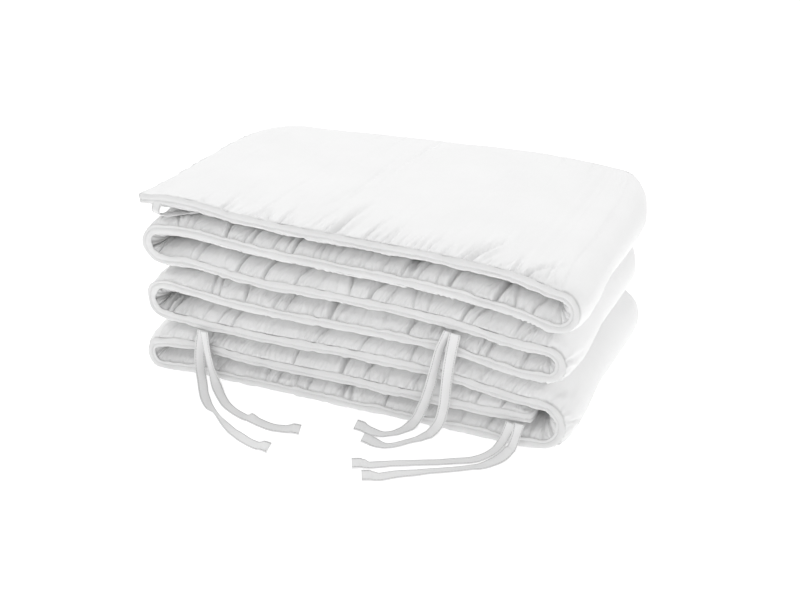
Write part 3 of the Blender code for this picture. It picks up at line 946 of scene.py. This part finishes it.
    def crease_depth(self) -> ndarray:
        """Return the depth of the main creases and of the small gathers along both seams."""
        depth = np.zeros(len(self.run))
        for layer, creases in CREASES.items():
            longer = 1.0 if layer == "top" else self.longer_below
            for crease in map(Crease._make, creases):
                run, direction = self.path.run_on_layer(layer, crease.at)
                upper = self.side == (direction if layer != "bottom" else -1)
                drift, reach = direction * crease.drift * longer * MM, crease.reach * longer * MM
                shape = self.trough(run, drift, reach, crease.width * MM, self.distance)
                depth += np.where(upper, shape * crease.depth * self.deeper * MM, 0)
        inside = -np.sign(self.path.read("curvature", self.run))
        for fold, creases in FOLD_CREASES.items():
            for crease in map(Crease._make, creases):
                run = self.path.run_on_fold(fold, crease.at)
                shape = self.trough(run, crease.drift * MM, crease.reach * MM, crease.width * MM, self.distance)
                depth += np.where(self.side == -inside, shape * crease.depth * MM, 0)
        for side in Side:
            for inward in (self.distance, STRIP_HEIGHT - self.distance):
                depth += np.where(self.side == side, self.small_gathers(inward), 0)
        return depth * self.calm()

    def open_air(self) -> ndarray:
        """Return 1 on the top layer's upper face and 0 on the rest, with a smooth change before the fold."""
        early = slice(0, self.path.FINE // 8)
        last = np.interp(LAYER_X[-1] * MM, self.path.lines[Row.FRONT][early, 0], self.path.run[early])
        return np.where(self.side > 0, np.clip((last - self.run) / self.open_fade, 0, 1), 0)

    def calm(self) -> ndarray:
        """Return how much of its gathers each corner keeps: less on the top layer, and least at its back edge."""
        near_back = mound(STRIP_HEIGHT - self.distance, self.calm_reach)
        on_top = np.where(self.side > 0, np.clip((self.calm_until - self.run) / self.calm_reach, 0, 1), 0)
        return 1 - on_top * (self.calmer_top + (self.calmer_back - self.calmer_top) * near_back)

    def small_gathers(self, inward: ndarray) -> ndarray:
        """Return the depth of small uneven gathers all along one seam of one face."""
        draw = np.random.default_rng(self.gather_seed)
        usual, uneven, spacing = self.busy
        busy = np.clip(usual + uneven * waver(self.run, 40 + self.gather_seed, spacing), *self.busy_range)
        self.gather_seed += 1
        depth = np.zeros(len(self.run))
        for kind in self.gathers:
            run = 0.0
            while run < self.path.length:
                near = np.nonzero((abs(self.run - run) < self.gather_window) & (inward < kind.reach[1]))[0]
                reach = draw.uniform(*kind.reach)
                drift = reach * draw.uniform(*kind.lean) * np.sign(self.path.read("heading", run))
                width, deep = draw.uniform(*kind.width), draw.uniform(*kind.depth)
                depth[near] += deep * self.trough(run, drift, reach, width, inward[near], self.run[near])
                run += draw.uniform(*kind.spacing)
        return depth * busy

    def spare_cloth(self) -> ndarray:
        """Return how much spare cloth the sewing gathers at each corner, from 0 to 1."""
        edge = to_seam(self.distance)
        waves = np.where(self.side > 0, waver(self.run, 5, 0.017), waver(self.run, 6, 0.017))
        usual, uneven = self.spare_at_seam
        at_seam = (usual + uneven * waves) * mound(edge, self.gather_reach)
        bend = self.path.read("curvature", self.run)
        in_fold = np.clip(bend * self.side * self.spare_radius, 0, 1) * mound(edge, self.fold_reach)
        return np.clip(at_seam + self.spare_in_fold * in_fold, 0, 1) * self.calm()

    def add_group(self, name: str, weights: ndarray) -> None:
        """Add a vertex group with weights in steps of a fortieth."""
        group = self.piece.vertex_groups.new(name=name)
        steps = np.rint(weights * 40) / 40
        for weight in np.unique(steps):
            group.add(np.nonzero(steps == weight)[0].tolist(), float(weight), "REPLACE")

    def gather(self) -> None:
        """Let the spare cloth buckle between the seams as cloth, then cap how far each corner has moved."""
        before = vertex_places(self.piece.data)
        edge = to_seam(self.distance)
        ends = np.isin(self.station, (0, len(self.along) - 1))
        self.add_group("sewn", ((edge < 1e-6) | (edge > self.held_past) | ends).astype(float))
        self.add_group("cut_to_size", 1 - self.spare_cloth())
        cloth = self.piece.modifiers.new("cloth", "CLOTH")
        for name, value in {
            "quality": 3, "mass": 0.02, "bending_stiffness": 0.02, "use_pressure": True,
            "uniform_pressure_force": 1.0, "vertex_group_mass": "sewn", "vertex_group_shrink": "cut_to_size",
            "shrink_min": -self.fabric_spare, "shrink_max": 0.0,
        }.items():
            setattr(cloth.settings, name, value)
        cloth.settings.effector_weights.gravity = 0
        cloth.collision_settings.use_collision = False
        cloth.point_cache.frame_start = 1
        cloth.point_cache.frame_end = self.frames
        scene = bpy.context.scene
        for frame in range(1, self.frames + 1):
            scene.frame_set(frame)
        bpy.context.view_layer.objects.active = self.piece
        bpy.ops.object.modifier_apply(modifier=cloth.name)
        scene.frame_set(1)
        moved = vertex_places(self.piece.data) - before
        size = np.linalg.norm(moved, axis=1)
        LOG.info("gathers moved %.1f mm at most, %.2f mm as a rule", size.max() / MM, size.mean() / MM)
        kept = self.most_move * np.tanh(size / self.most_move) / np.maximum(size, 1e-9)
        after = before + moved * kept[:, None]
        self.run, self.distance = after[:, 0], after[:, 1]
        self.half = after[:, 2] * self.side
        self.piece.vertex_groups.clear()

    def fold(self) -> None:
        """Draw the edge in for the band, keep room between the layers, and carry the strip to the stack."""
        at_edge = np.exp(-to_seam(self.distance) / EDGE_REACH)
        full = self.layer_room + self.layer_room_edge * at_edge - self.squeeze
        over = np.maximum(self.half - full, 0)
        squeezed = np.where(over > 0, full + self.squeeze * np.tanh(over / self.squeeze), self.half)
        half = squeezed + self.open_air() * (self.half - squeezed) - self.creased_after * self.creases
        half = np.maximum(half, self.least_half)
        from_back = STRIP_HEIGHT - self.distance
        inward = np.exp(-self.distance / self.drawn_reach) - np.exp(-from_back / self.drawn_reach)
        drawn = (DRAWN_IN + self.edge_line(self.run)) * inward
        run, distance = rounded_corners(self.run, self.distance + drawn, self.path.length, self.corner_radius)
        move_vertices(self.piece.data, self.path.carry(run, distance, half * self.side))
        slant = self.crease_lean * self.path.read("heading", self.flat_run) * self.flat_distance
        leaning = self.flat_run - slant + 0.5 * (self.side > 0)
        smooth = self.smoother_outside * np.clip(1.5 * self.outside(), 0, 1)
        gathered = self.calm() * (1 - self.smoother_top * self.open_air()) * (1 - smooth)
        # The shade attribute holds the painted shade that the cloth mixes into its colour
        for name, values in (("shade", self.shade()), ("gathered", gathered)):
            attribute = self.piece.data.attributes.new(name=name, type="FLOAT", domain="POINT")
            attribute.data.foreach_set("value", values.astype(np.float32))
        cloth, leaning = (np.stack([along, self.flat_distance], -1) for along in (self.flat_run, leaning))
        paint(self.piece, self.finish, cloth, leaning)

    def shade(self) -> ndarray:
        """Return how much painted shade each corner gets, from 0 to 1, in creases and folds that are too fine for
        the mesh.
        """
        run = self.flat_run
        inside = np.clip(self.path.read("bend", run) * self.side * self.tight_radius, 0, 1)
        usual, uneven, spacing = self.fold_shade
        # Painted shade inside each fold, and more in the deepest ones
        in_fold = inside * np.clip(usual + uneven * waver(run, 51, spacing), 0, 1)
        for name, amount in self.deep_fold_shade:
            middle = self.path.run_on_fold(name, 0.5)
            inner = self.side == np.sign(self.path.read("bend", middle))
            in_fold += np.where(inner, amount * mound(run - middle, self.deep_fold_shade_reach), 0)
        # Painted shade along the seams round the folds' outer sides, less at the back, and in the creases
        behind = np.where(self.flat_distance > STRIP_HEIGHT / 2, self.seam_shade_behind, 1)
        seam = self.seam_shade * behind * self.outside() * (to_seam(self.flat_distance) < 1e-6)
        creased = self.crease_shade * np.clip(self.creases / self.crease_shade_depth, 0, 1)
        return np.clip(np.maximum.reduce([in_fold, seam, creased]), 0, 1)

    def edge_line(self, run: ndarray) -> ndarray:
        """Return how far the sewn edge wavers in and out along the strip."""
        return self.edge_waver * waver(np.clip(run, 0, None), 21, 0.013)


@dataclass
class EdgeBand:
    """The woven band sewn all round the strip's edge: gently bowed, with a stitched groove along one side."""

    path: FoldedPath
    strip: PaddedStrip
    finish: WovenCotton
    step: float = 0.0022
    flat_width: float = 0.0106
    # Across the band: the height of each point and how far out it stands, in millimetres, up the outer face and
    # back down the inner one
    section: tuple[tuple[float, float], ...] = (
        (-5.80, 0.40), (-5.60, 1.00), (-4.90, 1.50), (-4.00, 1.60), (-3.10, 1.35), (-2.40, 0.90), (-1.80, 0.80),
        (-1.10, 1.10), (-0.30, 1.65), (0.80, 1.90), (2.00, 1.80), (3.20, 1.50), (4.10, 1.15), (4.70, 0.75),
        (4.80, 0.40), (3.4, 0.30), (0.0, 0.30), (-3.4, 0.30),
    )
    # The heights between which the groove lies, and how far out its rim stands where it is worn away
    groove: tuple[float, float] = (-3.5, -0.9)
    groove_rim: float = 1.65
    worn: tuple[float, float] = (0.10, 0.5)
    crinkle: float = 0.00048
    sway: float = 0.00060
    ragged: float = 0.15
    # Behind the top layer: how far down the band sits and how much narrower, so that the cloth hides it in front,
    # with the reach of that in from the back, and the run where it ends
    tucked: tuple[float, float] = (0.0003, 0.10)
    tucked_reach: float = 0.02
    tucked_until: float = 0.52
    tucked_fade: float = 0.03

    def rim(self) -> tuple[ndarray, ndarray]:
        """Return the runs and distances of the line that the band is sewn along, all round the strip."""
        length = self.path.length
        long_way = np.linspace(0, length, round(length / self.step))
        short_way = np.linspace(0, STRIP_HEIGHT, round(STRIP_HEIGHT / self.step))
        wavering = self.strip.edge_line(long_way)
        span = DRAWN_IN + short_way * (1 - 2 * DRAWN_IN / STRIP_HEIGHT)
        start, finish = np.zeros(len(span) - 1), np.full(len(span) - 1, length)
        front, back = DRAWN_IN + wavering[:-1], STRIP_HEIGHT - DRAWN_IN - wavering[:0:-1]
        run = np.concatenate([long_way[:-1], finish, long_way[:0:-1], start])
        distance = np.concatenate([front, span[:-1], back, span[:0:-1]])
        return rounded_corners(run, distance, length, self.strip.corner_radius)

    def build(self) -> Object:
        """Make the band.

        Returns:
            The finished band, which stands for the plain one.
        """
        run, distance = self.rim()
        ahead = np.stack([np.roll(run, -1) - np.roll(run, 1), np.roll(distance, -1) - np.roll(distance, 1)], -1)
        ahead /= np.linalg.norm(ahead, axis=1)[:, None]
        rim_length = distances_along(np.stack([run, distance], -1))
        crinkle = self.crinkle * waver(rim_length, 31, 0.006) + 0.5 * self.crinkle * waver(rim_length, 32, 0.0045)
        sway = self.sway * waver(rim_length, 33, 0.028)
        ragged = self.ragged * (waver(rim_length, 34, 0.009) + 0.6 * waver(rim_length, 35, 0.0045))
        on_top = np.clip((self.tucked_until - run) / self.tucked_fade, 0, 1)
        behind_top = mound(STRIP_HEIGHT - distance, self.tucked_reach) * on_top
        sway -= (sway + self.tucked[0]) * behind_top
        ragged -= (ragged + self.tucked[1]) * behind_top
        worn = np.clip(self.worn[0] + self.worn[1] * waver(rim_length, 36, 0.019), -0.2, 1)
        rings = []
        for height, out in self.section:
            bulge = crinkle * (out > 0.4) * (1 - abs(height) / 7)
            level = out + (self.groove_rim - out) * worn * (self.groove[0] < height < self.groove[1])
            reach = level * MM + bulge
            rings.append(self.path.carry(
                run + ahead[:, 1] * reach, distance - ahead[:, 0] * reach, height * MM * (1 + ragged) + sway
            ))
        band = make_tube("edge_band", np.stack(rings, 1), closed=True)
        around = distances_along(np.array(self.section)) * MM
        paint(band, self.finish, every_pair(rim_length, around))
        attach(band, "root")
        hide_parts("binding")
        return band


@dataclass
class Tape:
    """A flat cotton tape along its stops, with stitched edges and a doubled hem at its free end."""

    name: str
    stops: tuple[Stop, ...]
    finish: WovenCotton
    seed: int
    width: float = 0.0115
    thickness: float = 0.0010
    hem_length: float = 0.010
    hem_thickness: float = 0.0026
    hem_spread: float = 0.05
    hem_step: float = 0.0004
    step: float = 0.0016
    cup: float = 0.0006
    uneven_width: float = 0.03
    uneven_lift: float = 0.0002
    off_floor: float = 0.0002
    # Across the tape: shares of its half width and half thickness, once round
    section: tuple[tuple[float, float], ...] = (
        (-1.0, 0.0), (-0.97, 0.8), (-0.86, 1.05), (-0.74, 0.62), (-0.62, 1.0), (0.0, 1.0), (0.62, 1.0),
        (0.74, 0.62), (0.86, 1.05), (0.97, 0.8), (1.0, 0.0), (0.97, -0.8), (0.86, -1.05), (0.74, -0.62),
        (0.62, -1.0), (0.0, -1.0), (-0.62, -1.0), (-0.74, -0.62), (-0.86, -1.05), (-0.97, -0.8),
    )

    def build(self) -> Object:
        """Make the tape.

        Returns:
            The finished tape, which stands for the plain one.
        """
        route = np.array([(stop.x, stop.y, stop.z) for stop in self.stops]) * MM
        reach = distances_along(route)
        runs = np.linspace(0, reach[-1], round(reach[-1] / self.step) + 1)
        turns = np.interp(runs, reach, np.arange(len(self.stops)))
        line = smooth_path(route, turns)
        headings = np.radians(np.interp(runs, reach, [stop.heading for stop in self.stops]))
        rolls = np.radians(smooth_path(np.array([(stop.roll, 0.0) for stop in self.stops]), turns)[:, 0])
        hem = 1 / (1 + np.exp(-(runs - (reach[-1] - self.hem_length)) / self.hem_step))
        half = (self.thickness + (self.hem_thickness - self.thickness) * hem) / 2
        forward = np.gradient(line, axis=0)
        forward /= np.linalg.norm(forward, axis=1)[:, None]
        width = np.stack([np.cos(headings), np.sin(headings), np.zeros(len(runs))], -1)
        width -= forward * np.sum(width * forward, 1)[:, None]
        width /= np.linalg.norm(width, axis=1)[:, None]
        upward = np.cross(width, forward)
        turn, tip = np.cos(rolls)[:, None], np.sin(rolls)[:, None]
        width, upward = width * turn + upward * tip, upward * turn - width * tip
        wide = self.width / 2 * (1 + self.uneven_width * waver(runs, self.seed, 0.012) + self.hem_spread * hem)
        line[:, 2] = np.maximum(line[:, 2], half + self.off_floor + wide * abs(width[:, 2]))
        lift = self.uneven_lift * waver(runs, self.seed + 50, 0.014)
        rings = []
        for across, up in self.section:
            rise = up * half + self.cup * (across ** 2 - 0.4) * (1 - hem) + lift
            rings.append(line + width * (wide * across)[:, None] + upward * rise[:, None])
        x, y, z = np.moveaxis(np.stack(rings, 1), -1, 0)
        tape = make_tube(self.name, place(x, y, z), closed=False)
        across = np.array([share for share, _ in self.section]) * self.width / 2
        paint(tape, self.finish, every_pair(runs, across))
        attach(tape, "root")
        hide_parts(self.name[:-len("_tape")])
        return tape


class Lamp(NamedTuple):
    """A square soft lamp: where it hangs, how wide it is and its strength in watts."""

    name: str
    spot: tuple[float, float, float]
    size: float
    power: float


@dataclass
class Studio:
    """A pale floor, a soft bright room and the camera at the photograph's angle."""

    floor_size: float = 60.0
    floor_height: float = -0.0004
    floor_glow: float = 0.46
    room_brightness: float = 0.60
    lamps: tuple[Lamp, ...] = (
        Lamp("key_lamp", (-1.68, -1.84, 3.22), 0.8, 22.0),
        Lamp("top_lamp", (-0.80, 1.70, 3.60), 1.6, 47.0),
        Lamp("side_lamp", (3.10, 0.20, 2.40), 1.6, 17.0),
    )
    lit_middle: tuple[float, float, float] = (0, 0, 0.1)
    camera_place: tuple[float, float, float] = (0.5285, -1.231, 0.705)
    camera_tilt: float = 64.4
    camera_turn: float = 23.3
    lens: float = 58.41
    sensor: float = 36.0

    def floor(self) -> None:
        """Lay the floor: smooth white board, lit a little from within so that it stays pale under the object."""
        select_only()
        bpy.ops.mesh.primitive_plane_add(size=self.floor_size, location=(0, 0, self.floor_height))
        floor = bpy.context.object
        floor.name = "floor"
        material = bpy.data.materials.new("white_board")
        material.use_nodes = True
        shader = material.node_tree.nodes["Principled BSDF"]
        for name, value in (
            ("Base Color", linear("F4F4F4")), ("Roughness", 0.9), ("Specular IOR Level", 0.1),
            ("Emission Color", linear("FFFFFF")), ("Emission Strength", self.floor_glow),
        ):
            shader.inputs[name].default_value = value
        floor.data.materials.append(material)

    def stand(self, name: str, data: ID, spot: tuple[float, float, float], turns: tuple) -> Object:
        """Stand a lamp or the camera in the scene.

        Args:
            name: Its name.
            data: The lamp or the camera itself.
            spot: Its place.
            turns: How far it is turned about each axis.

        Returns:
            The new object.
        """
        stood = bpy.data.objects.new(name, data)
        stood.location = spot
        stood.rotation_euler = turns
        bpy.context.scene.collection.objects.link(stood)
        return stood

    def room(self) -> None:
        """Light the room evenly, and hang the soft lamps, which all face the middle of the stack."""
        world = bpy.data.worlds.new("bright_room")
        world.use_nodes = True
        background = world.node_tree.nodes["Background"]
        background.inputs["Color"].default_value = linear("FFFFFF")
        background.inputs["Strength"].default_value = self.room_brightness
        bpy.context.scene.world = world
        bpy.context.scene.view_settings.view_transform = "Standard"
        for lamp in self.lamps:
            light = bpy.data.lights.new(lamp.name, "AREA")
            light.energy = lamp.power
            light.shape = "RECTANGLE"
            light.size = light.size_y = lamp.size
            aim = (Vector(lamp.spot) - Vector(self.lit_middle)).to_track_quat("Z", "Y").to_euler()
            self.stand(lamp.name, light, lamp.spot, aim)

    def camera(self) -> None:
        """Stand the camera where the photograph was taken from."""
        data = bpy.data.cameras.new("camera")
        data.lens = self.lens
        data.sensor_width = self.sensor
        turns = (math.radians(self.camera_tilt), 0, math.radians(self.camera_turn))
        bpy.context.scene.camera = self.stand("camera", data, self.camera_place, turns)

    def build(self) -> None:
        """Make the whole studio."""
        self.floor()
        self.room()
        self.camera()


def main() -> None:
    """Build and dress the bumper."""
    logging.basicConfig(level=logging.INFO, format="%(name)s: %(message)s")
    # Bleached percale over soft filling: smooth and matt, puckered wherever it is gathered, with painted shade in
    # its creases and folds
    quilt = WovenCotton("white_percale_cotton", "F5F5F5", "F2F2F2", gather_relief=0.0026)
    # Bleached cotton band, a little heavier: a closer and slightly greyer weave with a sunk row of stitches and a
    # little painted shade along it
    band_cloth = WovenCotton(
        "white_cotton_binding", "E9E9E9", "E3E3E3", thread_spacing=0.0010, crumple_size=0.004,
        crumple_relief=0.00025, stitch_rows=(0.00470,), stitch_shade=0.12,
    )
    # Bleached cotton tape: a close weave, with a row of stitches along either edge, darkened by painted shade
    tape_cloth = WovenCotton(
        "white_cotton_tape", "F2F2F2", "EAEAEA", thread_spacing=0.0010, crumple_size=0.004,
        stitch_rows=(-0.0044, 0.0044), stitch_shade=0.55,
    )
    Studio().build()
    path = FoldedPath()
    strip = PaddedStrip(path, quilt)
    made = [strip.build(), EdgeBand(path, strip, band_cloth).build()]
    for number, (name, stops) in enumerate(TAPES.items()):
        made.append(Tape(name + "_tape", tuple(map(Stop._make, stops)), tape_cloth, seed=60 + number).build())
    for piece in made:
        triangles = sum(len(face.vertices) - 2 for face in piece.data.polygons)
        LOG.info("%s: %d triangles", piece.name, triangles)


if __name__ == "__main__":
    main()
